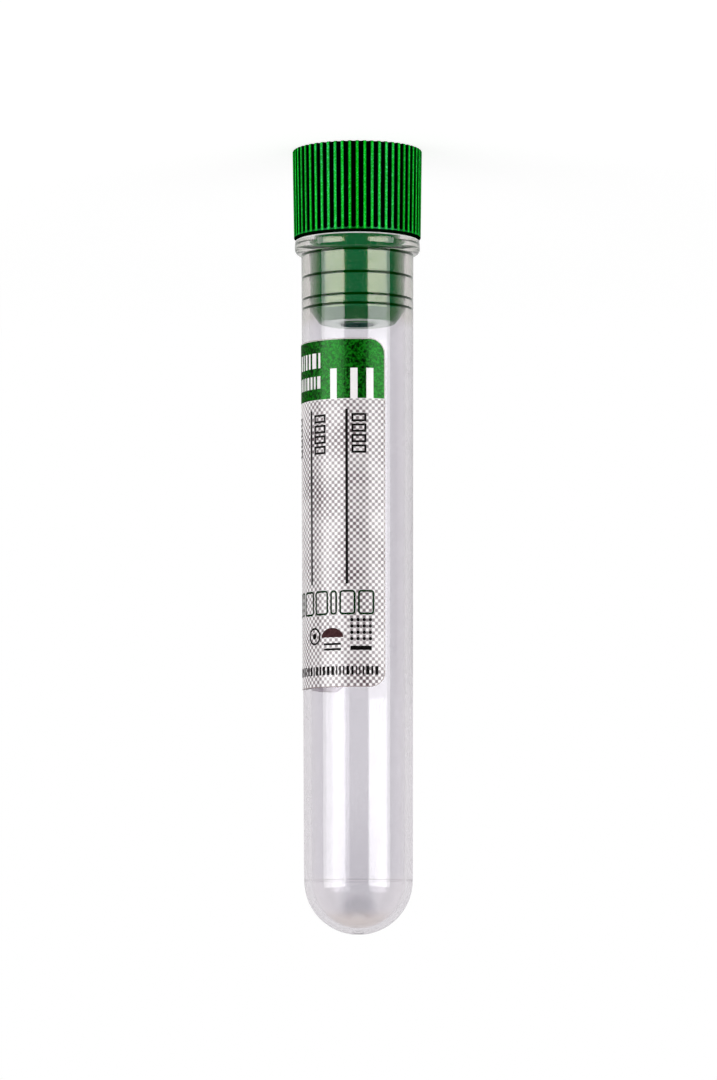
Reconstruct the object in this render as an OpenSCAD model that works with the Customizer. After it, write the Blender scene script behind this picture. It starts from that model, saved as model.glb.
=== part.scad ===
// Sample tube, 16 x 100 mm, with a ribbed push-in stopper and a wrap label.
// A tube with a round end rolls when it lies down, so it stands on the flat top of its stopper.
// The origin is the middle of that top, and +Z runs along the axis to the tube's round end.
// Depths on the plug and the tube start at the rim and grow towards the round end.

/* [Tube] */
// Length of the tube from its rim to its round end
tube_len = 100; // [75:1:130]
// Outside diameter of the barrel at the flange
barrel_d = 16.2; // [13:0.1:20]
// Draft of the barrel, outside and inside, in degrees a side
barrel_draft = 0.2; // [0:0.01:0.25]
// Thickness of the barrel's wall
wall = 1.1; // [0.8:0.05:1.6]
// Thickness of the wall at the middle of the round end
end_wall = 1; // [0.8:0.05:2]
// Step at the parting line where the round end starts
parting_step = 0.02; // [0.01:0.01:0.05]
// Diameter of the gate mark at the round end
gate_mark_d = 1.6; // [1:0.1:3]
// Depth of the gate mark
gate_mark_deep = 0.2; // [0.1:0.05:0.4]

/* [Flange] */
// How far the flange stands out from the barrel
flange_out = 0.95; // [0.6:0.05:1.2]
// Height of the flange's side, above the round under it
flange_side = 1.15; // [1:0.05:3]
// Draft of the flange's side, in degrees
flange_draft = 3; // [0:0.5:5]
// Radius of the flange's outer top edge
rim_round = 0.2; // [0.1:0.05:0.4]
// Depth of the lead-in chamfer in the mouth
lead_deep = 0.6; // [0.3:0.05:1]
// Width of the lead-in chamfer
lead_w = 0.35; // [0.1:0.05:0.5]

/* [Stopper head] */
// Height of the head
head_h = 13.1; // [9:0.1:16]
// How far the head's ribs stand out from the barrel, at the head's top
head_out = 1.275; // [1.2:0.025:2.5]
// Draft of the head's side, in degrees
head_draft = 0.9; // [0:0.1:1.2]
// Number of grip ribs
rib_count = 54; // [36:2:60]
// Share of the pitch that a groove between two ribs takes
groove_share = 0.64; // [0.45:0.01:0.7]
// Depth of the grooves, whose floor is half round
groove_deep = 0.7; // [0.4:0.05:0.8]
// Height of the plain band between the grooves and the chamfer of the lower edge
plain_band = 0.2; // [0.1:0.05:1.5]
// Radius of the head's top edge
head_round = 0.25; // [0.1:0.05:0.4]
// Chamfer of the head's lower edge
head_chamfer = 0.35; // [0.05:0.05:0.5]
// Thickness of the head's wall behind the grooves
head_wall = 1.3; // [1:0.1:1.6]
// Thickness of the web that joins the head to the plug
web_t = 1.6; // [1:0.1:2.5]
// Gap between the head's underside and the tube's rim
seat_gap = 0.06; // [0.01:0.01:0.1]

/* [Plug] */
// Length of the plug
plug_len = 12.2; // [12:0.1:16]
// Radial gap between the plug's body and the bore
plug_gap = 0.18; // [0.1:0.01:0.3]
// Depths of the four sealing rings
ring_depths = [2.1, 5.45, 8.65, 10]; // [2:0.05:11]
// Thickness of the first sealing ring
first_ring_t = 0.4; // [0.24:0.02:0.5]
// Thickness of the other sealing rings
ring_t = 0.28; // [0.16:0.02:0.4]
// Radial clearance between a sealing ring and the bore
ring_clear = 0.02; // [0.01:0.01:0.05]
// Height of the plug's nose chamfer
nose_h = 1.7; // [1:0.1:1.8]
// Width of the nose chamfer
nose_w = 1.3; // [0.8:0.1:1.4]
// Radius between the nose chamfer and the plug's flat end
nose_round = 0.4; // [0.2:0.05:0.6]
// Thickness of the plug's wall
plug_wall = 1.4; // [1.1:0.1:1.8]
// Thickness of the plug's end
plug_end = 1.6; // [1.4:0.1:2.2]
// Draft of the hollow in the plug, in degrees
core_draft = 0.5; // [0:0.1:1]
// Diameter of the gate well in the plug's end
well_d = 5.3; // [3:0.1:7]
// Depth of the gate well
well_deep = 0.5; // [0.3:0.05:0.8]
// Width of the bead round the gate well
bead_w = 0.4; // [0.2:0.05:0.5]
// Height of the bead round the gate well
bead_h = 0.12; // [0.05:0.01:0.2]
// Diameter of the gate's pip in the middle of the well
pip_d = 1.2; // [0.8:0.1:2]
// Height of the gate's pip
pip_h = 0.25; // [0.1:0.05:0.3]

/* [Label] */
// Distance from the rim to the label's near edge
label_start = 15.2; // [14:0.1:20]
// Length of the label along the tube
label_len = 49.8; // [30:0.1:55]
// Width of the label, round the barrel
label_w = 27.4; // [15:0.1:30]
// Thickness of the label
label_t = 0.1; // [0.08:0.01:0.2]
// Thickness of the glue under the label
glue_t = 0.01; // [0.01:0.01:0.03]
// Radius of the label's corners
label_corner = 2.3; // [1:0.1:4]
// Direction of the label's middle, in degrees round the axis from +X
label_turn = 338; // [0:1:359]

/* [Hidden] */
$fn = 96;
slack = 0.5;

// Heights of the rim and of the web that closes the head
rim_z = head_h + seat_gap;
web_z = head_h - web_t;

// Radius of the barrel and of its bore at a depth below the rim
function barrel_at(depth) = barrel_d / 2 - tan(barrel_draft) * depth;
function bore_at(depth) = barrel_at(depth) - wall;

// Radius of a ball that sits in a drafted wall, by its radius there if it went on to the tip
function ball_r(r_at_tip) = r_at_tip / (1 - tan(barrel_draft));
end_r = ball_r(barrel_at(tube_len));
end_depth = tube_len - end_r;
inner_tip = tube_len - end_wall;
inner_end_r = ball_r(bore_at(inner_tip));
inner_end_depth = inner_tip - inner_end_r;
flange_r = barrel_d / 2 + flange_out;
flange_top_r = flange_r - tan(flange_draft) * (flange_side - rim_round);

// Radius of the head over its ribs at a height, and a groove's width, to the nearest 0.02 mm
function head_at(z) = barrel_d / 2 + head_out - tan(head_draft) * z;
head_hollow_r = head_at(head_h) - groove_deep - head_wall;
pitch = 360 / rib_count;
groove_w = round(50 * groove_share * PI * 2 * head_at(head_h) / rib_count) / 50;

// Radius of the plug's body at a depth below the rim
function body_at(depth) = bore_at(depth) - plug_gap;
nose_start = plug_len - nose_h;
nose_r = body_at(nose_start) - nose_w;
nose_slope = norm([nose_w, nose_h]);
// From the nose's sharp corner to where its round begins, on both sides
nose_cut = nose_round * tan(atan2(nose_h, nose_w) / 2);
core_r = body_at(0) - plug_wall;
core_end = head_h + plug_len - plug_end;
core_end_r = core_r - tan(core_draft) * (core_end - web_z);

// Angle that the label takes, and the one from its edge to the middle of a corner's round
label_r = barrel_at(0) + glue_t;
label_angle = 360 * label_w / (2 * PI * label_r);
corner_angle = asin(label_corner / (label_r + label_t));
label_end = label_start + label_len;

// The upper right quarter of a disc
module quarter_disc(r) {
    intersection() {
        circle(r = r);
        square(r);
    }
}

// Half profile of the tube's outside: radius across, depth below the rim up
module tube_outline() {
    polygon([
        [0, 0],
        [barrel_at(0), 0],
        [barrel_at(end_depth), end_depth],
        [0, end_depth]
    ]);
    translate([0, end_depth])
        quarter_disc(end_r - parting_step);
    polygon([
        [0, 0],
        [flange_top_r - rim_round, 0],
        [flange_top_r, rim_round],
        [flange_r, flange_side],
        [0, flange_side]
    ]);
    translate([flange_top_r - rim_round, rim_round])
        circle(r = rim_round);
    translate([barrel_at(0), flange_side])
        quarter_disc(flange_out);
}

// Half profile of the tube's bore, with the lead-in chamfer at its mouth
module bore_outline() {
    polygon([
        [0, -slack],
        [bore_at(0) + lead_w, -slack],
        [bore_at(0) + lead_w, 0],
        [bore_at(lead_deep), lead_deep],
        [bore_at(inner_end_depth), inner_end_depth],
        [0, inner_end_depth]
    ]);
    translate([0, inner_end_depth])
        quarter_disc(inner_end_r);
}

module tube() {
    color([0.84, 0.83, 0.86, 0.45])
        translate([0, 0, rim_z])
            difference() {
                rotate_extrude()
                    tube_outline();
                rotate_extrude()
                    bore_outline();
                translate([0, 0, tube_len - gate_mark_deep])
                    cylinder(h = gate_mark_deep + slack, d = gate_mark_d);
            }
}

// Half profile of the stopper's head: radius across, height up
module head_outline() {
    polygon([
        [0, 0],
        [head_at(0) - head_round, 0],
        [head_at(head_round), head_round],
        [head_at(head_h), head_h - head_chamfer],
        [head_at(head_h) - head_chamfer, head_h],
        [0, head_h]
    ]);
    translate([head_at(head_round) - head_round, head_round])
        circle(r = head_round);
}

// Half profile of the plug: radius across, depth below the rim up
module plug_outline() {
    polygon([
        [0, -slack],
        [body_at(0), -slack],
        [body_at(nose_start), nose_start],
        [nose_r + nose_w * nose_cut / nose_slope, plug_len - nose_h * nose_cut / nose_slope],
        [nose_r - nose_cut, plug_len],
        [0, plug_len]
    ]);
    translate([nose_r - nose_cut, plug_len - nose_round])
        circle(r = nose_round);
    for (i = [0 : len(ring_depths) - 1])
        ring_bead(ring_depths[i], i == 0 ? first_ring_t : ring_t);
    translate([well_d / 2, plug_len])
        polygon([[0, -slack], [0, bead_h], [bead_w / 3, bead_h], [bead_w, 0], [bead_w, -slack]]);
}

// A sealing ring's round bead, with its crest a clearance inside the bore
module ring_bead(depth, thickness) {
    translate([bore_at(depth) - ring_clear - thickness / 2, depth])
        circle(d = thickness);
}

// Half profile of the hollow that the head and the plug are cored out to: height up
module hollow_outline() {
    polygon([
        [0, -slack],
        [head_hollow_r, -slack],
        [head_hollow_r, web_z],
        [core_r, web_z],
        [core_end_r, core_end],
        [0, core_end]
    ]);
}

// Cuts one groove between two ribs: open at the head's top, arched at the plain band, and with
// a half-round floor that leans in with the head's side
module groove() {
    arch_z = head_h - head_chamfer - plain_band - groove_w / 2;
    translate([head_at(0) - groove_deep, 0, 0])
        rotate([0, -head_draft, 0])
            intersection() {
                rotate([90, 0, 90])
                    linear_extrude(height = groove_deep + slack) {
                        translate([-groove_w / 2, -slack])
                            square([groove_w, arch_z + slack]);
                        translate([0, arch_z])
                            circle(d = groove_w);
                    }
                translate([0, 0, -slack])
                    linear_extrude(height = head_h + slack) {
                        translate([groove_w / 2, 0])
                            circle(d = groove_w);
                        translate([groove_w / 2, -groove_w / 2])
                            square([groove_deep + slack, groove_w]);
                    }
            }
}

module cap() {
    color([0, 0.45, 0.1])
        difference() {
            union() {
                rotate_extrude()
                    head_outline();
                translate([0, 0, head_h])
                    rotate_extrude()
                        plug_outline();
            }
            for (i = [0 : rib_count - 1])
                rotate([0, 0, i * pitch])
                    groove();
            rotate_extrude()
                hollow_outline();
            // Gate well, with the gate's pip left standing in it
            translate([0, 0, head_h + plug_len - well_deep])
                difference() {
                    cylinder(h = well_deep + bead_h + slack, d = well_d);
                    translate([0, 0, -slack])
                        cylinder(h = pip_h + slack, d = pip_d);
                }
        }
}

// Cuts the label's corner round: turn 1 or -1 for its side, and up 1 or -1 for its end
module corner_cut(side, up) {
    rotate([90, 0, 90])
        linear_extrude(height = label_r + label_t + slack)
            scale([side, up])
                difference() {
                    square(label_corner + slack);
                    circle(r = label_corner);
                }
}

module label() {
    color("white")
        translate([0, 0, rim_z])
            rotate([0, 0, label_turn])
                difference() {
                    rotate([0, 0, -label_angle / 2])
                        rotate_extrude(angle = label_angle)
                            polygon([
                                [barrel_at(label_start) + glue_t, label_start],
                                [barrel_at(label_start) + glue_t + label_t, label_start],
                                [barrel_at(label_end) + glue_t + label_t, label_end],
                                [barrel_at(label_end) + glue_t, label_end]
                            ]);
                    for (side = [-1, 1]) {
                        rotate([0, 0, side * (label_angle / 2 - corner_angle)]) {
                            translate([0, 0, label_start + label_corner])
                                corner_cut(side, -1);
                            translate([0, 0, label_end - label_corner])
                                corner_cut(side, 1);
                        }
                    }
                }
}

cap();
tube();
label();
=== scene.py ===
"""Looks of the sample tube: a clear barrel, a ribbed green stopper and a printed wrap label.

The tube stands on its stopper, so the camera is turned upside down to show the stopper above.
"""

import math

import bmesh
import bpy
from mathutils import Matrix, Vector


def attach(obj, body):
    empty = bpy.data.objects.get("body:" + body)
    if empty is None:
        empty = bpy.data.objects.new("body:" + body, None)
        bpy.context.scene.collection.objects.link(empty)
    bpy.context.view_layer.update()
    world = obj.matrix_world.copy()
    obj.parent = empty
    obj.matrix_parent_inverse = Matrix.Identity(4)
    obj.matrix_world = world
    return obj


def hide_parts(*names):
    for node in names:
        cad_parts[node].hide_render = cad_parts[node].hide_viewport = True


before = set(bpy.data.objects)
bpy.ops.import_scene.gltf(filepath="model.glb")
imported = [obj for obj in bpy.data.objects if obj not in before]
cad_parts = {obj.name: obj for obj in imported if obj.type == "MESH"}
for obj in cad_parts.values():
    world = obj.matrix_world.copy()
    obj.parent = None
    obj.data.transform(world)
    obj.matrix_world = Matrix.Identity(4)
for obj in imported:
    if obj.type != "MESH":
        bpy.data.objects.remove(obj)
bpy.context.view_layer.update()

MM = 0.001

# Camera: where it stands and looks, in metres, its roll, in degrees, and its lens, in millimetres
CAMERA_AT = Vector((0.0, -0.654, 0.11787))
CAMERA_AIM = Vector((-0.00009, 0.0, 0.05657))
CAMERA_ROLL = 179.9
CAMERA_LENS = 152.27

# Studio: brightness of the softboxes, and of the fill that reaches matt surfaces
SOFTBOX_LIGHT = 3.0
FILL_LIGHT = 0.38
# Softboxes: name, side of the camera's axis, degrees off it from and to, lower and upper end,
# and how far away they all are, in metres
SOFTBOXES = (("softbox_left", 1, 28.5, 79.0, -0.1, 0.213),
             ("softbox_right", -1, 22.3, 70.0, -0.1, 0.207))
SOFTBOX_DISTANCE = 0.45
# How far in front of a softbox its white card hangs, and how far it reaches past its sides
CARD_LEAD = 0.01
# Black cards: their distance, half the gap in them behind the part, their lowest and highest
# angle, how far along Y they grow from dark to pale, and how dark and how pale they are
BLACK_CARDS_R = 1.0
BLACK_CARDS_GAP = 75
BLACK_CARDS_RISE = (-60, 80)
BLACK_CARDS_FADE = (-0.08, 0.26)
BLACK_CARDS_SHADE = (0.03, 0.85)
# Floor: its radius, how far it lies below the part, where it goes over into white, and its own
# glow near the part
FLOOR_R = 2.5
FLOOR_DROP = 0.00002
FLOOR_FADE = (0.05, 0.2)
FLOOR_GLOW = 0.82

# Tube, in millimetres: the rim's height, the radii of barrel and bore there, and their draft
RIM_Z = 13.16
BARREL_R = 8.1
BORE_R = 7.0
DRAFT = math.tan(math.radians(0.2))
TUBE_LEN = 100.0
END_WALL = 1.0
# Step inwards where the round end starts, and the gate mark at its tip
PARTING_STEP = 0.02
GATE_R = 0.8
GATE_DEEP = 0.2
# Rim flange: its radius, how far its side reaches down, the side's draft and the upper edge's
# round, and the lead-in of the mouth
FLANGE_R = 9.05
FLANGE_SIDE = 1.15
FLANGE_DRAFT = math.tan(math.radians(3))
RIM_ROUND = 0.2
LEAD_DEEP = 0.6
LEAD_W = 0.35
# Radius of the round end, and its start below the rim
END_R = (BARREL_R - DRAFT * TUBE_LEN) / (1 - DRAFT)
END_DEPTH = TUBE_LEN - END_R
# Depths of the barrel's rows of vertices, and how finely its round parts are turned
BARREL_ROWS = range(4, 92, 4)
TUBE_SEGMENTS = 256
END_STEPS = 64
FLANGE_STEPS = 20
# Steps of the rim's round edge, and which rows of faces are on it
RIM_STEPS = 8
RIM_FACES = range(1, RIM_STEPS + 1)
# Angle between faces from which an edge of the tube is sharp, in degrees
SHARP_ANGLE = 25
# Each fade below is a pair of places, where a look starts to change and where it has changed.
# The painted shade on the wall's edges beside the plug, below the rim, and the parting line, from
# its middle
BESIDE_FADE = (11.5, 13.5)
PARTING_FADE = (0.03, 0.1)
# In the bore, from its end: its cloudier middle, its clearer sides and its warm tip. How wide
# the middle is, and how far the grey spot, a painted reflection, lies from the end and reaches
# across and along
BORE_END = RIM_Z + TUBE_LEN - END_WALL
CLOUDY_FADE = (-22.0, -6.0)
CLEARER_FADE = (-8.0, -6.0)
WARM_FADE = (-3.0, -0.9)
MIDDLE_FADE = (1.4, 3.6)
SPOT_AT = -3.0
SPOT_HALF = (2.7, 2.3)

# Head of the stopper: its height, its radius over the ribs at the top, its draft, its lower edge
# and the number of its ribs
HEAD_H = 13.1
HEAD_R = 9.375
HEAD_DRAFT = math.tan(math.radians(0.9))
HEAD_CHAMFER = 0.35
RIB_COUNT = 54
# Depths under the ribs: where the painted shade in a groove deepens, and the most that counts as a
# rib's side, as a groove and as the head's foot
GROOVE_FADE = (0.0, 0.25)
SIDE_DEEP = 0.5
GROOVE_DEEP = 0.8
FOOT_DEEP = HEAD_CHAMFER + 0.02
# From the chamfer's start the foot's painted shade, and from the head the plug and its nose's
# painted shade
FOOT_FADE = (-0.05, 0.03)
PLUG_FADE = (0.01, 0.03)
NOSE_FADE = (10.3, 10.8)
# Radius of the gate well in the plug's end, where painted shade darkens it
WELL_R = 2.66
# Depths of the sealing rings below the rim, and the height of the band that each one presses flat
RINGS = ((2.1, 0.42), (5.45, 0.36), (8.65, 0.36), (10.0, 0.36))
# How far a ring presses into the bore's wall, how far its band reaches inwards, and the share
# of the band's half height that its edges round off
RING_PRESS = 0.03
RING_REACH = 0.12
RING_EDGE = 0.2
RING_SEGMENTS = 192
# How much deeper than the ring its painted dark line lies on the outside, and how the line's edge
# fades
RING_SHIFT = 0.12
RING_FADE = (-0.05, 0.1)

# Label: how near to its ends a vertex counts as on them, its corners and its painted edge shade's
# width
LABEL_END_NEAR = 0.01
LABEL_CORNER = 2.3
CUT_W = 0.12
# Print on the label, in millimetres from its right edge and from its near one
BORDER = 0.14
BAND_END = 8.65
BAND_FADE = 0.15
DOT_PITCH = 0.917
BAR_TOP = 4.3
BARS = ((1.8, 2.85), (4.1, 5.15), (7.15, 8.2))
RULES = (5.7, 11.85, 18.0, 24.15)
RULE_W = 0.38
RULE_SPAN = (10.15, 35.15)
# Open boxes beside a rule: number, start, pitch, length, sides from the rule, and line width
BOX_COUNT = 4
BOX_START = 10.8
BOX_PITCH = 1.5
BOX_LEN = 1.2
BOX_SIDES = (2.85, 0.7)
BOX_LINE = 0.3
# Outlined pills: start, span, widths, gap, corner and line width
PILL_START = 1.7
PILL_SPAN = (36.05, 39.55)
PILL_WIDTHS = (2.4, 2.4, 1.1, 2.4, 2.4, 1.1, 2.4, 2.4)
PILL_GAP = 0.35
PILL_CORNER = 0.5
PILL_LINE = 0.28
# Rows of blocks in place of words: span, sides, shortest and longest block, gap and first seed
BAND_ROWS = (((9.9, 20.5), (1.9, 4.1), (0.4, 0.9), 0.42, 1),
             ((9.9, 20.5), (5.25, 7.05), (0.3, 0.7), 0.32, 31))
LAST_ROW = ((1.1, 20.0), (46.85, 48.1), (0.18, 0.5), 0.3, 71)
# Marks below the pills: two bars, a square of dots over a bar, a ring with its dot, a half disc
MARK_BARS = ((6.6, 43.55, 9.4, 43.85), (6.6, 44.3, 9.4, 44.6))
DOTS_AT = (2.3, 40.3)
DOTS_COUNT = 4
DOTS_PITCH = 0.9
DOTS_R = 0.26
DOTS_BAR = (2.1, 44.0, 5.2, 44.6)
RING_MARK_AT = (11.3, 42.5)
RING_MARK_RADII = (1.25, 0.98, 0.42)
HALF_DISC_AT = (8.05, 42.75)
HALF_DISC_R = (1.8, 1.35)
# Ink: length of its flat steps round the barrel, and how far it stands proud and reaches down
PRINT_STEP = 0.4
INK_TOP = 0.008
INK_DEEP = 0.02


# ---------------------------------------------------------------- node helpers

def add(tree, kind, links=None, **values):
    """Adds a node. Values set its properties, and links its inputs: sockets or plain values."""
    node = tree.nodes.new(kind)
    for key, value in values.items():
        setattr(node, key, value)
    for key, value in (links or {}).items():
        if isinstance(value, bpy.types.NodeSocket):
            tree.links.new(value, node.inputs[key])
        else:
            node.inputs[key].default_value = value
    return node


def new_material(name):
    """A material with an empty node tree, and the tree."""
    material = bpy.data.materials.new(name)
    material.use_nodes = True
    material.node_tree.nodes.clear()
    return material, material.node_tree


def set_surface(tree, shader):
    """Gives the tree its output, with the shader on it."""
    add(tree, "ShaderNodeOutputMaterial", {"Surface": shader})


def mix_shader(tree, factor, a, b):
    """Two shaders mixed by factor."""
    return add(tree, "ShaderNodeMixShader", {0: factor, 1: a, 2: b}).outputs[0]


def bsdf(tree, kind, links):
    """A surface shader, such as Diffuse or Glossy."""
    return add(tree, "ShaderNodeBsdf" + kind, links).outputs[0]


def transparent(tree, colour=(1, 1, 1, 1)):
    """A shader that lets rays pass straight on."""
    return bsdf(tree, "Transparent", {"Color": colour})


def white_glow(tree, strength):
    """A white emission."""
    links = {"Color": (1, 1, 1, 1), "Strength": strength}
    return add(tree, "ShaderNodeEmission", links).outputs[0]


def light_path(tree):
    """The ray's kind and depth."""
    return add(tree, "ShaderNodeLightPath").outputs


def facing(tree):
    """0 where the surface faces the viewer, and 1 at its outline."""
    return add(tree, "ShaderNodeLayerWeight").outputs["Facing"]


def math_node(tree, operation, a, b=None, c=None, clamp=False):
    """The result of a Math node on sockets or plain numbers."""
    links = {0: a}
    if b is not None:
        links[1] = b
    if c is not None:
        links[2] = c
    return add(tree, "ShaderNodeMath", links, operation=operation, use_clamp=clamp).outputs[0]


def times(tree, first, *others):
    """The product of sockets or plain numbers."""
    for value in others:
        first = math_node(tree, "MULTIPLY", first, value)
    return first


def distance(tree, value, centre):
    """How far a value is from the centre."""
    return math_node(tree, "ABSOLUTE", math_node(tree, "SUBTRACT", value, centre))


def noise(tree, vector, scale, detail=2.0, roughness=0.5):
    """A noise texture's value, about 0.5 on average."""
    links = {"Vector": vector, "Scale": scale, "Detail": detail, "Roughness": roughness}
    return add(tree, "ShaderNodeTexNoise", links).outputs["Fac"]


def ramp(tree, value, low, high, to_low=0.0, to_high=1.0, smooth=False):
    """Value mapped from low..high to to_low..to_high and held there."""
    links = {"Value": value, "From Min": low, "From Max": high,
             "To Min": to_low, "To Max": to_high}
    kind = "SMOOTHSTEP" if smooth else "LINEAR"
    return add(tree, "ShaderNodeMapRange", links, interpolation_type=kind).outputs["Result"]


def fade(tree, value, start, span, to_low=0.0, to_high=1.0, smooth=False):
    """A ramp over a span in millimetres from start, on a value in metres."""
    low, high = [(start + step) * MM for step in span]
    return ramp(tree, value, low, high, to_low, to_high, smooth)


def mix_colour(tree, factor, a, b):
    """Two colours mixed by factor."""
    return add(tree, "ShaderNodeMix", {0: factor, 6: a, 7: b}, data_type="RGBA").outputs[2]


def bump(tree, height, depth, strength=1.0):
    """A normal from a height."""
    links = {"Height": height, "Distance": depth, "Strength": strength}
    return add(tree, "ShaderNodeBump", links).outputs["Normal"]


def place(tree):
    """The point's place in the part's frame, in metres."""
    return add(tree, "ShaderNodeTexCoord").outputs["Object"]


def axes(tree, point):
    """The point's X, Y and Z."""
    return add(tree, "ShaderNodeSeparateXYZ", {0: point}).outputs


def from_axis(tree, x, y):
    """The way to the point from the part's axis, with no height."""
    return add(tree, "ShaderNodeCombineXYZ", {0: x, 1: y, 2: 0.0}).outputs[0]


def length(tree, vector):
    """A vector's length."""
    return add(tree, "ShaderNodeVectorMath", {0: vector}, operation="LENGTH").outputs["Value"]


# ---------------------------------------------------------------- materials

def head_shader(tree, point, radius, grain):
    """The ribbed head: a weak gloss, painted crest highlights, and painted shade in grooves and
    foot.
    """
    x, y, height = axes(tree, point)
    crest = math_node(tree, "MULTIPLY_ADD", height, -HEAD_DRAFT, HEAD_R * MM)
    depth = math_node(tree, "SUBTRACT", crest, radius)
    # Painted shade: nearly black down in the grooves and at the foot under the head
    groove = times(tree, fade(tree, depth, 0.0, GROOVE_FADE, smooth=True),
                   math_node(tree, "LESS_THAN", depth, GROOVE_DEEP * MM))
    foot = times(tree, fade(tree, height, HEAD_H - HEAD_CHAMFER, FOOT_FADE),
                 math_node(tree, "LESS_THAN", depth, FOOT_DEEP * MM))
    dark = math_node(tree, "MAXIMUM", groove, foot)
    turn = math_node(tree, "ARCTAN2", y, x)
    rib = math_node(tree, "FRACT", times(tree, turn, RIB_COUNT / (2 * math.pi)))
    # Painted highlight and shade: each crest is brightest in its middle, darker towards its sides
    side = times(tree, ramp(tree, distance(tree, rib, 0.5), 0.03, 0.22, smooth=True),
                 math_node(tree, "LESS_THAN", depth, SIDE_DEEP * MM))
    stretched = add(tree, "ShaderNodeMapping", {"Vector": point, "Scale": (1.0, 1.0, 0.12)})
    flow = ramp(tree, noise(tree, stretched.outputs[0], 900.0, 2.0), 0.3, 0.7)
    speck = ramp(tree, noise(tree, point, 3300.0, 3.0, 0.7), 0.35, 0.65)
    mottle = math_node(tree, "MULTIPLY_ADD", speck, 0.6, times(tree, flow, 0.4))
    colour = mix_colour(tree, mottle, (0.0, 0.26, 0.0, 1.0), (0.0, 1.0, 0.004, 1.0))
    colour = mix_colour(tree, side, colour, (0.0, 0.1, 0.0, 1.0))
    colour = mix_colour(tree, dark, colour, (0.0, 0.0022, 0.0002, 1.0))
    matt = bsdf(tree, "Diffuse", {
        "Color": colour, "Roughness": 0.3, "Normal": bump(tree, grain, 0.02 * MM, 0.4)})
    gloss = bsdf(tree, "Glossy", {
        "Color": (0.2, 1.0, 0.7, 1.0), "Roughness": ramp(tree, grain, 0.25, 0.75, 0.2, 0.34),
        "Normal": bump(tree, speck, 0.03 * MM, 0.8)})
    glint = ramp(tree, speck, 0.45, 1.0, 0.03, 0.13)
    share = times(tree, glint, ramp(tree, dark, 0.0, 0.6, 1.0, 0.0))
    return mix_shader(tree, share, matt, gloss)


def plug_shader(tree, point, height, radius, grain):
    """The smooth plug: satin, with specks of dust, and painted shade on its nose and in its gate
    well.
    """
    colour = mix_colour(tree, grain, (0.0, 0.14, 0.036, 1.0), (0.0, 0.22, 0.06, 1.0))
    # Painted shade: the nose and the gate well are darker than the plug's own green
    nose = fade(tree, height, HEAD_H, NOSE_FADE)
    colour = mix_colour(tree, nose, colour, (0.0, 0.11, 0.02, 1.0))
    well = times(tree, nose, math_node(tree, "LESS_THAN", radius, WELL_R * MM))
    colour = mix_colour(tree, well, colour, (0.0, 0.055, 0.04, 1.0))
    tint = mix_colour(tree, nose, (0.92, 0.88, 0.35, 1.0), (0.35, 0.9, 0.25, 1.0))
    tint = mix_colour(tree, well, tint, (0.1, 0.5, 0.3, 1.0))
    dust = ramp(tree, noise(tree, point, 6500.0, 1.0), 0.62, 0.74)
    colour = mix_colour(tree, times(tree, dust, 0.6), colour, (0.3, 0.5, 0.3, 1.0))
    return bsdf(tree, "Principled", {
        "Base Color": colour, "Roughness": 0.14, "IOR": 1.8, "Specular Tint": tint,
        "Normal": bump(tree, grain, 0.02 * MM, 0.1)})


def stopper_material():
    """Green polyethylene: a ribbed head and a smooth plug."""
    material, tree = new_material("stopper_green")
    point = place(tree)
    x, y, height = axes(tree, point)
    radius = length(tree, from_axis(tree, x, y))
    grain = noise(tree, point, 5200.0, 3.0, 0.6)
    plug = fade(tree, height, HEAD_H, PLUG_FADE)
    set_surface(tree, mix_shader(tree, plug, head_shader(tree, point, radius, grain),
                                 plug_shader(tree, point, height, radius, grain)))
    return material


def seal_material():
    """Painted shade where a sealing ring lies tight against the bore: a dark green, with a fine
    grain.
    """
    material, tree = new_material("seal_green")
    grain = noise(tree, place(tree), 4200.0, 2.0, 0.6)
    # Painted shade: far darker than the stopper's own green
    colour = mix_colour(tree, grain, (0.0, 0.02, 0.0, 1.0), (0.0, 0.05, 0.002, 1.0))
    set_surface(tree, bsdf(tree, "Diffuse", {"Color": colour, "Roughness": 0.4}))
    return material


def outside_look(tree, point, colour, milky):
    """The outside's inputs: greyer edges, painted shade by plug and rings, a parting line, its haze
    share.
    """
    height = axes(tree, point)[2]
    around = facing(tree)
    edge = ramp(tree, around, 0.05, 0.48, smooth=True)
    # Painted shade: beside the plug the wall's edges are darker and browner
    beside = fade(tree, height, RIM_Z, BESIDE_FADE, 1.0, 0.0, smooth=True)
    wall = mix_colour(tree, beside, (0.645, 0.618, 0.641, 1.0), (0.5, 0.468, 0.42, 1.0))
    colour = mix_colour(tree, edge, colour, wall)
    off = distance(tree, height, (RIM_Z + END_DEPTH) * MM)
    parting = fade(tree, off, 0.0, PARTING_FADE, 1.0, 0.0, smooth=True)
    colour = mix_colour(tree, times(tree, parting, 0.6), colour, (0.45, 0.42, 0.42, 1.0))
    # Painted shade: a dark line at each sealing ring, where the outside's reflection and haze are
    # dimmed
    plain = 1.0
    for depth, thickness in RINGS:
        off = distance(tree, height, (RIM_Z + depth + RING_SHIFT) * MM)
        plain = times(tree, plain, fade(tree, off, thickness / 2, RING_FADE))
    milky = math_node(tree, "ADD", milky, ramp(tree, around, 0.4, 0.9, 0.0, 0.35))
    tint = mix_colour(tree, plain, (0.25, 0.25, 0.25, 1.0), (1.0, 1.0, 1.0, 1.0))
    look = {"Base Color": colour, "Specular Tint": tint,
            "Normal": bump(tree, parting, 0.012 * MM, 1.0)}
    return look, times(tree, milky, plain)


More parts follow.
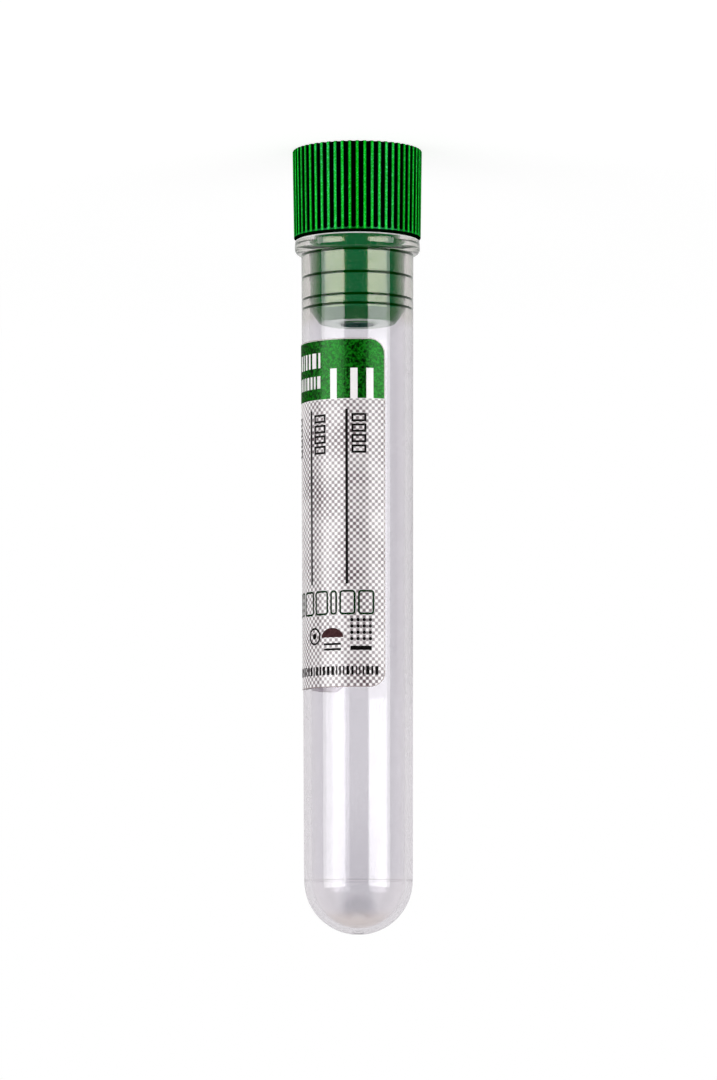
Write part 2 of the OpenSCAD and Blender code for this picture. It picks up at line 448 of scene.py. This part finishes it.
def bore_colour(tree, point, colour):
    """The bore's colour: cloudier towards its end, with a painted grey reflection and a warm tip.
    """
    x, _, height = axes(tree, point)
    aside = math_node(tree, "ABSOLUTE", x)
    middle = fade(tree, aside, 0.0, MIDDLE_FADE, 1.0, 0.0, smooth=True)
    cloudy = times(tree, fade(tree, height, BORE_END, CLOUDY_FADE, smooth=True), middle)
    colour = mix_colour(tree, cloudy, colour, (0.735, 0.72, 0.755, 1.0))
    near_end = fade(tree, height, BORE_END, CLEARER_FADE)
    clearer = math_node(tree, "SUBTRACT", near_end, middle, clamp=True)
    colour = mix_colour(tree, clearer, colour, (0.93, 0.905, 0.925, 1.0))
    # Painted reflection: a grey spot in the bore near its end
    across = math_node(tree, "DIVIDE", aside, SPOT_HALF[0] * MM)
    from_spot = math_node(tree, "SUBTRACT", height, (BORE_END + SPOT_AT) * MM)
    along = math_node(tree, "DIVIDE", from_spot, SPOT_HALF[1] * MM)
    reach = math_node(tree, "MULTIPLY_ADD", across, across, times(tree, along, along))
    spot = ramp(tree, reach, 0.0, 1.0, 0.6, 0.0, smooth=True)
    colour = mix_colour(tree, spot, colour, (0.5, 0.49, 0.515, 1.0))
    warm = fade(tree, height, BORE_END, WARM_FADE, smooth=True)
    return mix_colour(tree, warm, colour, (0.8, 0.725, 0.68, 1.0))


def tube_material(name, part):
    """Clear plastic, a little grey and cloudy. Part is outside, bore or rim; the rim is a painted
    highlight.
    """
    material, tree = new_material(name)
    point = place(tree)
    cloud = noise(tree, point, 350.0, 3.0, 0.6)
    grain = noise(tree, point, 4600.0, 2.0, 0.6)
    speck = ramp(tree, grain, 0.35, 0.65)
    colour = mix_colour(tree, speck, (0.815, 0.8, 0.832, 1.0), (0.9, 0.883, 0.915, 1.0))
    if part == "rim":
        # Painted highlight: the rim's round edge is a matt near-white in place of its shine
        milky = ramp(tree, speck, 0.0, 1.0, 0.8, 0.95)
        haze = bsdf(tree, "Diffuse", {"Color": (0.9, 0.9, 0.9, 1.0)})
    else:
        milky = ramp(tree, cloud, 0.3, 0.7, 0.01, 0.03)
        haze = bsdf(tree, "Translucent", {"Color": (0.66, 0.63, 0.665, 1.0)})
    if part == "outside":
        look, milky = outside_look(tree, point, colour, milky)
    else:
        look = {"Base Color": colour, "Normal": bump(tree, grain, 0.001 * MM, 0.1)}
    if part == "bore":
        look["Base Color"] = bore_colour(tree, point, colour)
    clear = bsdf(tree, "Principled", {
        **look, "Roughness": ramp(tree, cloud, 0.3, 0.7, 0.02, 0.05),
        "IOR": 1.5, "Transmission Weight": 1.0})
    body = mix_shader(tree, milky, clear, haze)
    path = light_path(tree)
    unseen = math_node(tree, "MAXIMUM", path["Is Shadow Ray"], path["Is Diffuse Ray"])
    through = transparent(tree, (0.9, 0.885, 0.9, 1.0))
    set_surface(tree, mix_shader(tree, unseen, body, through))
    return material


def edge_shade_line(tree, label, across, along):
    """How strongly the painted shade shows as a thin line along the label's cut edge, and 0
    elsewhere.
    """
    reach = []
    for value, size in ((across, label.width), (along, label.length)):
        off = distance(tree, value, size / 2)
        reach.append(math_node(tree, "SUBTRACT", off, size / 2 - LABEL_CORNER))
    beyond = [math_node(tree, "MAXIMUM", value, 0.0) for value in reach]
    square = [times(tree, value, value) for value in beyond]
    round_part = math_node(tree, "SQRT", math_node(tree, "ADD", square[0], square[1]))
    flat_part = math_node(tree, "MINIMUM", math_node(tree, "MAXIMUM", reach[0], reach[1]), 0.0)
    return ramp(tree, math_node(tree, "ADD", round_part, flat_part),
                LABEL_CORNER - CUT_W, LABEL_CORNER - CUT_W / 2, 0.0, 0.9)


def label_material(label):
    """Semi-gloss white paper, with a grey dot screen below the green band and a plain back."""
    material, tree = new_material("label_paper")
    point = place(tree)
    x, y, height = axes(tree, point)
    angle = math_node(tree, "ARCTAN2", y, x)
    turned = math_node(tree, "SUBTRACT", angle, label.edge)
    across = times(tree, turned, label.r_near / MM)
    along = math_node(tree, "DIVIDE", math_node(tree, "SUBTRACT", height, label.near), MM)
    # The screen is -2 midway between the dots and 2 in their middles
    waves = []
    for sign in ("ADD", "SUBTRACT"):
        slant = times(tree, math_node(tree, sign, across, along), 2 * math.pi / DOT_PITCH)
        waves.append(math_node(tree, "COSINE", slant))
    screen = math_node(tree, "ADD", waves[0], waves[1])
    tone = ramp(tree, noise(tree, point, 230.0, 2.0), 0.28, 0.72)
    dot = ramp(tree, screen, -1.35, ramp(tree, tone, 0.0, 1.0, 1.5, 0.85), smooth=True)
    below = ramp(tree, along, BAND_END, BAND_END + BAND_FADE)
    normal = add(tree, "ShaderNodeNewGeometry").outputs["True Normal"]
    outwards = add(tree, "ShaderNodeVectorMath", {0: normal, 1: from_axis(tree, x, y)},
                   operation="DOT_PRODUCT").outputs["Value"]
    front = math_node(tree, "GREATER_THAN", outwards, 0.0)
    strength = times(tree, times(tree, dot, below),
                     times(tree, front, ramp(tree, tone, 0.0, 1.0, 0.7, 1.0)))
    fibre = noise(tree, point, 2600.0, 3.0, 0.6)
    paper = mix_colour(tree, fibre, (0.9, 0.863, 0.873, 1.0), (0.99, 0.953, 0.963, 1.0))
    colour = mix_colour(tree, strength, paper, (0.085, 0.045, 0.058, 1.0))
    # Painted shade: a thin brown line along the label's cut edge
    cut = edge_shade_line(tree, label, across, along)
    colour = mix_colour(tree, cut, colour, (0.2, 0.13, 0.11, 1.0))
    set_surface(tree, bsdf(tree, "Principled", {
        "Base Color": colour, "Roughness": ramp(tree, fibre, 0.3, 0.7, 0.2, 0.28),
        "Normal": bump(tree, fibre, 0.01 * MM, 0.35), "IOR": 1.7}))
    return material


def ink_material(name, dark, light, rough, ior, tint):
    """Printed ink: mottled, with a fine grain, glossier in its light specks, dull at its edges."""
    material, tree = new_material(name)
    grain = noise(tree, place(tree), 2500.0, 2.0, 0.6)
    speck = ramp(tree, grain, 0.36, 0.64)
    colour = mix_colour(tree, speck, dark, light)
    dim_tint = tuple(0.6 * value for value in tint[:3]) + (1.0,)
    normal = bump(tree, grain, 0.02 * MM, 0.5)
    gloss = bsdf(tree, "Principled", {
        "Base Color": colour, "Roughness": ramp(tree, grain, 0.3, 0.7, *rough),
        "Normal": normal, "IOR": ior, "Specular Tint": mix_colour(tree, speck, dim_tint, tint)})
    dull = ramp(tree, facing(tree), 0.22, 0.45, 0.0, 0.9, smooth=True)
    matt = bsdf(tree, "Diffuse", {"Color": colour, "Normal": normal})
    set_surface(tree, mix_shader(tree, dull, gloss, matt))
    return material


# ---------------------------------------------------------------- object helpers

def mesh_from(bm, name):
    """Ends a bmesh and gives its mesh."""
    mesh = bpy.data.meshes.new(name)
    bm.to_mesh(mesh)
    bm.free()
    return mesh


def show(name, data):
    """A new object in the scene, from a mesh, a curve, a lamp or a camera."""
    shown = bpy.data.objects.new(name, data)
    bpy.context.scene.collection.objects.link(shown)
    return shown


def dress(node, material):
    """Gives a CAD node its material."""
    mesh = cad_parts[node].data
    mesh.materials.clear()
    mesh.materials.append(material)


# ---------------------------------------------------------------- tube

def arc(centre_r, centre_depth, radius, start, end, steps):
    """Points of an arc from start to end, in degrees from outwards towards the tube's end."""
    points = []
    for i in range(steps + 1):
        turn = math.radians(start + (end - start) * i / steps)
        points.append((centre_r + radius * math.cos(turn), centre_depth + radius * math.sin(turn)))
    return points


def tube_outside():
    """Outside's profile, from the mouth's edge to the gate mark: radius, depth below the rim."""
    flange_top = FLANGE_R - FLANGE_DRAFT * (FLANGE_SIDE - RIM_ROUND)
    points = [(BORE_R + LEAD_W, 0.0)]
    points += arc(flange_top - RIM_ROUND, RIM_ROUND, RIM_ROUND, -90, 0, RIM_STEPS)
    points += arc(BARREL_R, FLANGE_SIDE, FLANGE_R - BARREL_R, 0, 90, FLANGE_STEPS)
    points += [(BARREL_R - DRAFT * depth, depth) for depth in BARREL_ROWS]
    points.append((BARREL_R - DRAFT * END_DEPTH, END_DEPTH))
    ball = END_R - PARTING_STEP
    last = math.degrees(math.acos(GATE_R / ball))
    points += arc(0, END_DEPTH, ball, 0, last, END_STEPS)
    points += [(GATE_R, TUBE_LEN - GATE_DEEP), (0.0, TUBE_LEN - GATE_DEEP)]
    return points


def tube_inside():
    """Bore's profile, from its tip to the mouth's edge."""
    tip = TUBE_LEN - END_WALL
    end_r = (BORE_R - DRAFT * tip) / (1 - DRAFT)
    end_depth = tip - end_r
    points = arc(0, end_depth, end_r, 90, 0, END_STEPS)
    points += [(BORE_R - DRAFT * depth, depth) for depth in reversed(BARREL_ROWS)]
    points += [(BORE_R - DRAFT * LEAD_DEEP, LEAD_DEEP), (BORE_R + LEAD_W, 0.0)]
    return points


def tube_piece(outside, bore, rim):
    """The tube as one smooth solid of revolution, with a material for each of its parts."""
    outer, inner = tube_outside(), tube_inside()
    bm = bmesh.new()
    rows = []
    turns = [2 * math.pi * i / TUBE_SEGMENTS for i in range(TUBE_SEGMENTS)]
    for r, depth in outer + inner[:-1]:
        z = (RIM_Z + depth) * MM
        if r < 1e-6:
            rows.append([bm.verts.new((0.0, 0.0, z))])
            continue
        rows.append([bm.verts.new((r * MM * math.cos(t), r * MM * math.sin(t), z)) for t in turns])
    for index in range(len(rows)):
        a, b = rows[index], rows[(index + 1) % len(rows)]
        if len(a) == 1 and len(b) == 1:
            continue
        part = 2 if index in RIM_FACES else 0 if index < len(outer) - 1 else 1
        for i in range(TUBE_SEGMENTS):
            n = (i + 1) % TUBE_SEGMENTS
            if len(a) == 1:
                face = bm.faces.new((a[0], b[n], b[i]))
            elif len(b) == 1:
                face = bm.faces.new((a[i], a[n], b[0]))
            else:
                face = bm.faces.new((a[i], a[n], b[n], b[i]))
            face.material_index = part
            face.smooth = True
    bmesh.ops.recalc_face_normals(bm, faces=bm.faces)
    mesh = mesh_from(bm, "tube_wall")
    mesh.set_sharp_from_angle(angle=math.radians(SHARP_ANGLE))
    for material in (outside, bore, rim):
        mesh.materials.append(material)
    piece = show("tube_wall", mesh)
    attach(piece, "tube")
    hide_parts("tube")


# ---------------------------------------------------------------- sealing rings

def ring_piece(name, depth, thickness, material):
    """A sealing ring where it presses against the bore."""
    outer = (BORE_R - DRAFT * depth + RING_PRESS) * MM
    inner = outer - RING_REACH * MM
    half = thickness / 2 * MM
    edge = RING_EDGE * half
    z = (RIM_Z + depth) * MM
    profile = [(inner, -half), (outer - edge, -half), (outer, edge - half),
               (outer, half - edge), (outer - edge, half), (inner, half)]
    bm = bmesh.new()
    rings = []
    for i in range(RING_SEGMENTS):
        turn = 2 * math.pi * i / RING_SEGMENTS
        rings.append([bm.verts.new((r * math.cos(turn), r * math.sin(turn), z + dz))
                      for r, dz in profile])
    for i in range(RING_SEGMENTS):
        here, there = rings[i], rings[(i + 1) % RING_SEGMENTS]
        for k in range(len(profile)):
            n = (k + 1) % len(profile)
            bm.faces.new((here[k], there[k], there[n], here[n]))
    bmesh.ops.recalc_face_normals(bm, faces=bm.faces)
    mesh = mesh_from(bm, name)
    mesh.materials.append(material)
    piece = show(name, mesh)
    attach(piece, "cap")


# ---------------------------------------------------------------- label

class Label:
    """Where the label lies on the barrel, measured from its node."""

    def __init__(self, node):
        points = [v.co for v in node.data.vertices]
        end_near = LABEL_END_NEAR * MM
        self.near = min(p.z for p in points)
        self.far = max(p.z for p in points)
        self.r_near = max(math.hypot(p.x, p.y) for p in points if p.z < self.near + end_near)
        self.r_far = max(math.hypot(p.x, p.y) for p in points if p.z > self.far - end_near)
        self.length = (self.far - self.near) / MM
        angles = [math.atan2(p.y, p.x) for p in points]
        self.edge = min(angles)
        self.turn = max(angles) - self.edge
        self.width = self.turn * self.r_near / MM

    def at(self, across, along, proud):
        """The point across mm from the label's right edge, along mm from its near one."""
        share = along / self.length
        r = self.r_near + (self.r_far - self.r_near) * share + proud * MM
        angle = self.edge + self.turn * across / self.width
        return Vector((r * math.cos(angle), r * math.sin(angle), self.near + along * MM))


def corner(a, b, radius, start, steps=6):
    """A quarter of a circle round a, b, from start degrees on."""
    turns = [math.radians(start + 90 * i / steps) for i in range(steps + 1)]
    return [(a + radius * math.cos(t), b + radius * math.sin(t)) for t in turns]


def block(a0, b0, a1, b1, radius=0.0):
    """A closed outline: a rectangle, with round corners if radius is given."""
    if radius <= 0:
        return [(a0, b0), (a1, b0), (a1, b1), (a0, b1)]
    return (corner(a1 - radius, b1 - radius, radius, 0)
            + corner(a0 + radius, b1 - radius, radius, 90)
            + corner(a0 + radius, b0 + radius, radius, 180)
            + corner(a1 - radius, b0 + radius, radius, 270))


def disc(a, b, radius, steps=24):
    """A closed outline: a circle."""
    turns = [2 * math.pi * i / steps for i in range(steps)]
    return [(a + radius * math.cos(t), b + radius * math.sin(t)) for t in turns]


def pseudo(i):
    """A repeatable number from 0 to 1 for the i-th mark of a row."""
    return math.modf(abs(math.sin(i * 12.9898 + 4.1414)) * 43758.5453)[0]


def word_row(span, sides, widths, gap, seed):
    """A row of plain blocks where the real label has words."""
    start, end = span
    shortest, longest = widths
    blocks = []
    while start + shortest < end:
        stop = min(start + shortest + (longest - shortest) * pseudo(seed), end)
        blocks.append(block(start, sides[0], stop, sides[1]))
        start = stop + gap
        seed += 1
    return blocks


def green_band(label):
    """Outline of the green band with three plain bars left open, and rows of blocks in it."""
    radius = LABEL_CORNER - BORDER
    far = label.width - BORDER
    outline = corner(BORDER + radius, BORDER + radius, radius, 180, steps=8)
    outline += corner(far - radius, BORDER + radius, radius, 270, steps=8)
    outline.append((far, BAND_END))
    for a0, a1 in reversed(BARS):
        outline += [(a1, BAND_END), (a1, BAR_TOP), (a0, BAR_TOP), (a0, BAND_END)]
    outline.append((BORDER, BAND_END))
    outlines = [outline]
    for row in BAND_ROWS:
        outlines += word_row(*row)
    return outlines


def label_rules():
    """Writing rules, with a row of open boxes beside each."""
    outlines = []
    for a in RULES:
        outlines.append(block(a - RULE_W / 2, RULE_SPAN[0], a + RULE_W / 2, RULE_SPAN[1]))
        for i in range(BOX_COUNT):
            b = BOX_START + i * BOX_PITCH
            for inset in (0.0, BOX_LINE):
                outlines.append(block(a - BOX_SIDES[0] + inset, b + inset,
                                      a - BOX_SIDES[1] - inset, b + BOX_LEN - inset))
    return outlines


def label_pills(inset):
    """A row of pill shapes in place of the maker's row, drawn in by inset."""
    outlines = []
    a = PILL_START
    for width in PILL_WIDTHS:
        outlines.append(block(a + inset, PILL_SPAN[0] + inset, a + width - inset,
                              PILL_SPAN[1] - inset, PILL_CORNER - inset))
        a += width + PILL_GAP
    return outlines


def label_marks():
    """Plain marks below the pills: bars, a square of dots, a ring and a row of blocks."""
    outlines = [block(*bar) for bar in MARK_BARS]
    for row in range(DOTS_COUNT):
        for i in range(DOTS_COUNT):
            outlines.append(disc(DOTS_AT[0] + i * DOTS_PITCH, DOTS_AT[1] + row * DOTS_PITCH,
                                 DOTS_R, steps=12))
    outlines.append(block(*DOTS_BAR))
    outlines += [disc(*RING_MARK_AT, radius) for radius in RING_MARK_RADII]
    return outlines + word_row(*LAST_ROW)


def half_disc():
    """A half disc above the bars."""
    steps = 16
    turns = [math.pi * i / steps for i in range(steps + 1)]
    return [[(HALF_DISC_AT[0] + HALF_DISC_R[0] * math.cos(t),
              HALF_DISC_AT[1] - HALF_DISC_R[1] * math.sin(t)) for t in turns]]


def print_piece(name, label, outlines, material):
    """A thin printed layer on the label. An outline inside another one is a hole in it."""
    curve = bpy.data.curves.new(name, "CURVE")
    curve.dimensions = "2D"
    curve.fill_mode = "BOTH"
    curve.extrude = 1.0
    for outline in outlines:
        spline = curve.splines.new("POLY")
        spline.points.add(len(outline) - 1)
        for point, (a, b) in zip(spline.points, outline):
            point.co = (a, b, 0.0, 1.0)
        spline.use_cyclic_u = True
    flat = show(name, curve)
    bpy.context.view_layer.update()
    graph = bpy.context.evaluated_depsgraph_get()
    mesh = bpy.data.meshes.new_from_object(flat.evaluated_get(graph))
    bpy.data.objects.remove(flat)
    bm = bmesh.new()
    bm.from_mesh(mesh)
    bmesh.ops.remove_doubles(bm, verts=bm.verts, dist=1e-5)
    low = min(v.co.x for v in bm.verts)
    high = max(v.co.x for v in bm.verts)
    cuts = int((high - low) / PRINT_STEP) + 1
    for i in range(1, cuts):
        everything = bm.verts[:] + bm.edges[:] + bm.faces[:]
        at = (low + (high - low) * i / cuts, 0, 0)
        bmesh.ops.bisect_plane(bm, geom=everything, plane_co=at, plane_no=(1, 0, 0))
    for v in bm.verts:
        v.co = label.at(v.co.x, v.co.y, INK_TOP if v.co.z > 0 else -INK_DEEP)
    bmesh.ops.recalc_face_normals(bm, faces=bm.faces)
    bm.to_mesh(mesh)
    bm.free()
    mesh.name = name
    mesh.materials.clear()
    mesh.materials.append(material)
    piece = show(name, mesh)
    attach(piece, "tube")


# ---------------------------------------------------------------- studio

def softbox(name, side, near_deg, far_deg, low, high):
    """A soft light from near_deg to far_deg off the camera's axis, on side -1 or 1 of it."""
    middle = math.radians((near_deg + far_deg) / 2)
    half = math.radians((far_deg - near_deg) / 2)
    lamp = bpy.data.lights.new(name, "AREA")
    lamp.shape = "RECTANGLE"
    lamp.size = 2 * SOFTBOX_DISTANCE * math.tan(half)
    lamp.size_y = high - low
    lamp.energy = 4 * SOFTBOX_LIGHT * lamp.size * lamp.size_y
    light = show(name, lamp)
    z = (low + high) / 2
    light.location = (side * SOFTBOX_DISTANCE * math.sin(middle),
                      -SOFTBOX_DISTANCE * math.cos(middle), z)
    towards = Vector((0, 0, z)) - light.location
    light.rotation_mode = "QUATERNION"
    light.rotation_quaternion = towards.to_track_quat("-Z", "Y")
    light.visible_camera = False
    return light


def hide_card(card):
    """Keeps a card from the camera and from matt surfaces, and lets it throw no shadow."""
    card.visible_camera = False
    card.visible_diffuse = False
    card.visible_shadow = False
    card.visible_volume_scatter = False


def white_card(light):
    """White in front of a softbox, seen in its place by rays straight through the tube."""
    half_x, half_y = light.data.size / 2 + CARD_LEAD, light.data.size_y / 2 + CARD_LEAD
    name = light.name + "_card"
    mesh = bpy.data.meshes.new(name)
    corners = ((-half_x, -half_y), (half_x, -half_y), (half_x, half_y), (-half_x, half_y))
    mesh.from_pydata([(x, y, -CARD_LEAD) for x, y in corners], [], [(0, 1, 2, 3)])
    material, tree = new_material(name)
    path = light_path(tree)
    straight = times(tree, math_node(tree, "LESS_THAN", path["Glossy Depth"], 0.5),
                     path["Is Transmission Ray"])
    set_surface(tree, mix_shader(tree, straight, transparent(tree), white_glow(tree, 1.0)))
    mesh.materials.append(material)
    card = show(name, mesh)
    card.location = light.location
    card.rotation_mode = "QUATERNION"
    card.rotation_quaternion = light.rotation_quaternion
    hide_card(card)
    card.visible_glossy = False


def seen_rays(tree):
    """1 for rays that show the background: straight, mirrored or through glass."""
    path = light_path(tree)
    first = math_node(tree, "MAXIMUM", path["Is Camera Ray"], path["Is Glossy Ray"])
    return math_node(tree, "MAXIMUM", first, path["Is Transmission Ray"])


def add_world():
    """White wherever it is seen, and a weak fill for matt surfaces."""
    world = bpy.data.worlds.new("studio")
    bpy.context.scene.world = world
    world.use_nodes = True
    tree = world.node_tree
    tree.nodes.clear()
    strength = ramp(tree, seen_rays(tree), 0.0, 1.0, FILL_LIGHT, 1.0)
    background = add(tree, "ShaderNodeBackground", {"Color": (1, 1, 1, 1), "Strength": strength})
    add(tree, "ShaderNodeOutputWorld", {"Surface": background.outputs[0]})


def add_floor():
    """A pale floor that goes over into the white background and keeps the part's shadow."""
    bm = bmesh.new()
    bmesh.ops.create_circle(bm, cap_ends=True, radius=FLOOR_R, segments=96)
    mesh = mesh_from(bm, "floor")
    material, tree = new_material("floor_pale")
    far = ramp(tree, length(tree, place(tree)), *FLOOR_FADE, smooth=True)
    matt = bsdf(tree, "Diffuse", {"Color": (0.35, 0.35, 0.35, 1)})
    near_shader = add(tree, "ShaderNodeAddShader", {0: matt, 1: white_glow(tree, FLOOR_GLOW)})
    seen = mix_shader(tree, far, near_shader.outputs[0], white_glow(tree, 1.0))
    plain = bsdf(tree, "Diffuse", {"Color": (0.8, 0.8, 0.8, 1)})
    set_surface(tree, mix_shader(tree, seen_rays(tree), plain, seen))
    mesh.materials.append(material)
    floor = show("floor", mesh)
    floor.location.z = -FLOOR_DROP
    floor.visible_glossy = False
    floor.visible_transmission = False


def add_black_cards():
    """Black cards round the camera's side, seen only in mirror images, as in a studio."""
    levels, steps = 8, 48
    low_rise, high_rise = BLACK_CARDS_RISE
    bm = bmesh.new()
    rows = []
    for level in range(levels + 1):
        rise = math.radians(low_rise + (high_rise - low_rise) * level / levels)
        flat = BLACK_CARDS_R * math.cos(rise)
        row = []
        for i in range(steps + 1):
            turn = math.radians(90 + BLACK_CARDS_GAP + (360 - 2 * BLACK_CARDS_GAP) * i / steps)
            row.append(bm.verts.new((flat * math.cos(turn), flat * math.sin(turn),
                                     BLACK_CARDS_R * math.sin(rise))))
        rows.append(row)
    for low, high in zip(rows, rows[1:]):
        for i in range(steps):
            bm.faces.new((low[i], low[i + 1], high[i + 1], high[i]))
    mesh = mesh_from(bm, "dark_cards")
    material, tree = new_material("card_black")
    back = axes(tree, place(tree))[1]
    shade = ramp(tree, back, *BLACK_CARDS_FADE, *BLACK_CARDS_SHADE, smooth=True)
    mirrored = math_node(tree, "GREATER_THAN", light_path(tree)["Glossy Depth"], 0.5)
    set_surface(tree, mix_shader(tree, mirrored, transparent(tree), white_glow(tree, shade)))
    mesh.materials.append(material)
    cards = show("dark_cards", mesh)
    hide_card(cards)


def add_camera():
    """The photograph's view, with the stopper at the top of the picture."""
    data = bpy.data.cameras.new("camera")
    data.lens = CAMERA_LENS
    data.clip_start = 0.05
    camera = show("camera", data)
    camera.location = CAMERA_AT
    turn = (CAMERA_AIM - CAMERA_AT).to_track_quat("-Z", "Y").to_matrix().to_4x4()
    roll = Matrix.Rotation(math.radians(CAMERA_ROLL), 4, "Z")
    camera.rotation_mode = "QUATERNION"
    camera.rotation_quaternion = (turn @ roll).to_quaternion()
    bpy.context.scene.camera = camera


# ---------------------------------------------------------------- the part

dress("cap", stopper_material())
tube_piece(tube_material("tube_outside", "outside"), tube_material("tube_inside", "bore"),
           tube_material("tube_rim", "rim"))
label = Label(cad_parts["label"])
dress("label", label_material(label))
seal_green = seal_material()
for index, (depth, thickness) in enumerate(RINGS):
    ring_piece(f"seal_ring_{index + 1}", depth, thickness, seal_green)

ink_green = ink_material("ink_green", (0.0, 0.0, 0.0, 1), (0.0, 0.135, 0.0, 1),
                         (0.18, 0.34), 1.77, (0.2, 1.0, 0.23, 1))
ink_black = ink_material("ink_black", (0.0, 0.0, 0.0, 1), (0.008, 0.006, 0.006, 1),
                         (0.5, 0.6), 1.12, (1, 1, 1, 1))
ink_deep = ink_material("ink_deep_green", (0.0, 0.008, 0.001, 1), (0.0, 0.024, 0.002, 1),
                        (0.5, 0.6), 1.15, (0.5, 1, 0.6, 1))
ink_brown = ink_material("ink_brown", (0.035, 0.012, 0.014, 1), (0.07, 0.028, 0.03, 1),
                         (0.5, 0.6), 1.15, (1, 0.8, 0.8, 1))
print_piece("print_green_band", label, green_band(label), ink_green)
print_piece("print_rules", label, label_rules(), ink_black)
print_piece("print_marks", label, label_marks(), ink_black)
print_piece("print_half_disc", label, half_disc(), ink_brown)
print_piece("print_pills", label, label_pills(0.0) + label_pills(PILL_LINE), ink_deep)

for box in SOFTBOXES:
    white_card(softbox(*box))
add_world()
add_floor()
add_black_cards()
add_camera()
bpy.context.scene.view_settings.view_transform = "Standard"
